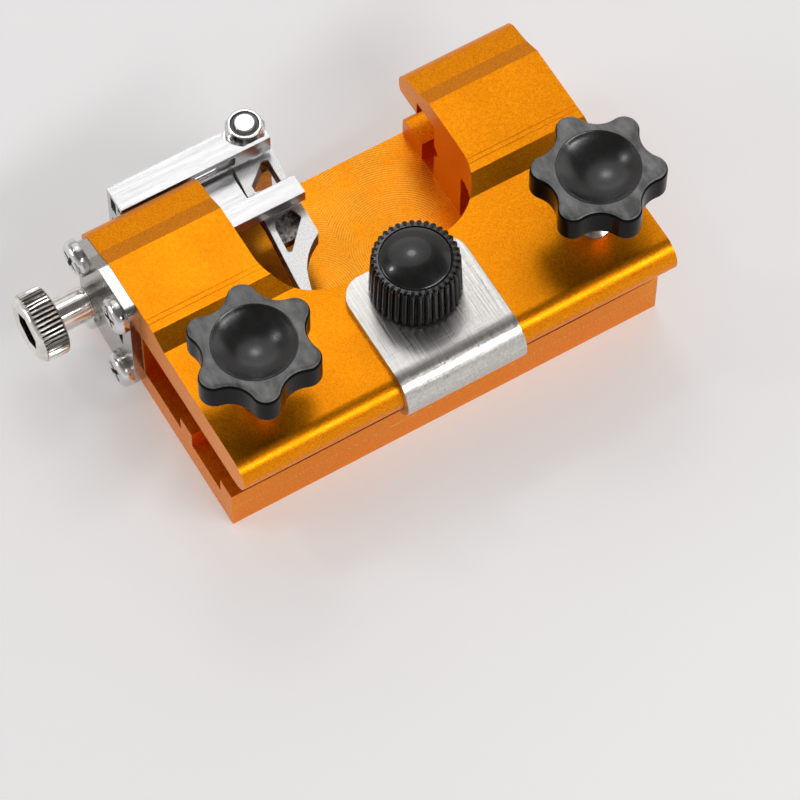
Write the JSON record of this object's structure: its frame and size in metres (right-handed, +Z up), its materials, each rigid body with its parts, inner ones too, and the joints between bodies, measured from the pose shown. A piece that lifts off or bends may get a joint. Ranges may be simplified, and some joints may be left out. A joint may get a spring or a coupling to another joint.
{
  "type": "chainsaw sharpening guide",
  "caption": "Clamp-on bar guide for sharpening a saw chain, with star clamp knobs, a spring clip, a screw-driven carriage and a sprung pawl round an open grinding pocket.",
  "frame": {"origin": "on the body's underside, halfway along it and halfway between its front and its rear", "axes": "+X along the body away from the adjusting screw, +Y to the rear where the grinding pocket opens, +Z up towards the knobs"},
  "size_m": [0.103, 0.0682, 0.0448],
  "materials": {
    "anodised": "satin orange anodised, fine blasted grain",
    "clip_steel": "brushed stainless strip",
    "bracket_cast": "rough cast, nickel plated",
    "screw_steel": "bright zinc plated",
    "bush_steel": "turned",
    "adjuster_nickel": "polished nickel, knurled head",
    "spring_steel": "drawn spring wire",
    "knob_plastic": "moulded, polished rim and bowl",
    "foot_steel": "turned and blacked",
    "knurl_plastic": "moulded, fine ridges",
    "cap_plastic": "polished dome",
    "carriage_alloy": "bright extrusion with fine lengthwise lines",
    "pawl_cast": "cast, speckled, bright edges",
    "nut_zinc": "bright plated",
    "nylon": "natural nylon"
  },
  "bodies": {
    "body": {"body": "anodised", "chain_clip": "clip_steel", "end_bracket": "bracket_cast", "bracket_screws": "screw_steel", "adjust_screw_bush": "bush_steel"},
    "left_foot": {"left_clamp_foot": "foot_steel"},
    "left_knob": {"left_clamp_knob": "knob_plastic", "left_clamp_screw": "screw_steel"},
    "right_foot": {"right_clamp_foot": "foot_steel"},
    "right_knob": {"right_clamp_knob": "knob_plastic", "right_clamp_screw": "screw_steel"},
    "centre_pad": {"centre_pad": "foot_steel"},
    "centre_knob": {"centre_knob": "knurl_plastic", "centre_knob_cap": "cap_plastic", "centre_screw": "screw_steel"},
    "adjuster": {"adjust_screw": "adjuster_nickel", "adjust_screw_ring": "spring_steel"},
    "carriage": {"carriage": "carriage_alloy", "groove_rod": "carriage_alloy", "pawl_bolt": "screw_steel", "pawl_bush": "bush_steel", "pawl_washer": "screw_steel", "pawl_nut": "nut_zinc", "pawl_nut_insert": "nylon", "pawl_spring": "spring_steel"},
    "pawl": {"pawl": "pawl_cast"}
  },
  "joints": [
    {"name": "left_clamp_travel", "type": "slide", "parent": "body", "child": "left_foot", "axis": [0, 0, -1], "range_m": [-0.0035, 0.004]},
    {"name": "left_clamp_turn", "type": "hinge", "parent": "left_foot", "child": "left_knob", "pos_m": [-0.03355, -0.0164, 0.0171], "axis": [0, 0, -1], "range_deg": [-1260, 1440]},
    {"name": "right_clamp_travel", "type": "slide", "parent": "body", "child": "right_foot", "axis": [0, 0, -1], "range_m": [-0.0035, 0.004]},
    {"name": "right_clamp_turn", "type": "hinge", "parent": "right_foot", "child": "right_knob", "pos_m": [0.03355, -0.0164, 0.0171], "axis": [0, 0, -1], "range_deg": [-1260, 1440]},
    {"name": "centre_travel", "type": "slide", "parent": "body", "child": "centre_pad", "axis": [0, 0, 1], "range_m": [0, 0.0024]},
    {"name": "centre_turn", "type": "hinge", "parent": "centre_pad", "child": "centre_knob", "pos_m": [0, -0.0124, 0.0201], "axis": [0, 0, 1], "range_deg": [0, 1080]},
    {"name": "adjuster_turn", "type": "hinge", "parent": "body", "child": "adjuster", "pos_m": [-0.043, 0.0201, 0.0153], "axis": [1, 0, 0], "range_deg": [-2520, 2520]},
    {"name": "carriage_travel", "type": "slide", "parent": "body", "child": "carriage", "axis": [1, 0, 0], "range_m": [-0.0049, 0.0049]},
    {"name": "pawl_swing", "type": "hinge", "parent": "carriage", "child": "pawl", "pos_m": [-0.0077, 0.0335, 0.016], "axis": [0, 0, 1], "range_deg": [0, 32], "stiffness_Nm_per_rad": 0.01, "springref_deg": -28.65}
  ],
  "couplings": [
    {"joint": "left_clamp_travel", "follows": "left_clamp_turn", "m_per_rad": 0.00015915},
    {"joint": "right_clamp_travel", "follows": "right_clamp_turn", "m_per_rad": 0.00015915},
    {"joint": "centre_travel", "follows": "centre_turn", "m_per_rad": 0.00012732},
    {"joint": "carriage_travel", "follows": "adjuster_turn", "m_per_rad": -0.00011141}
  ]
}
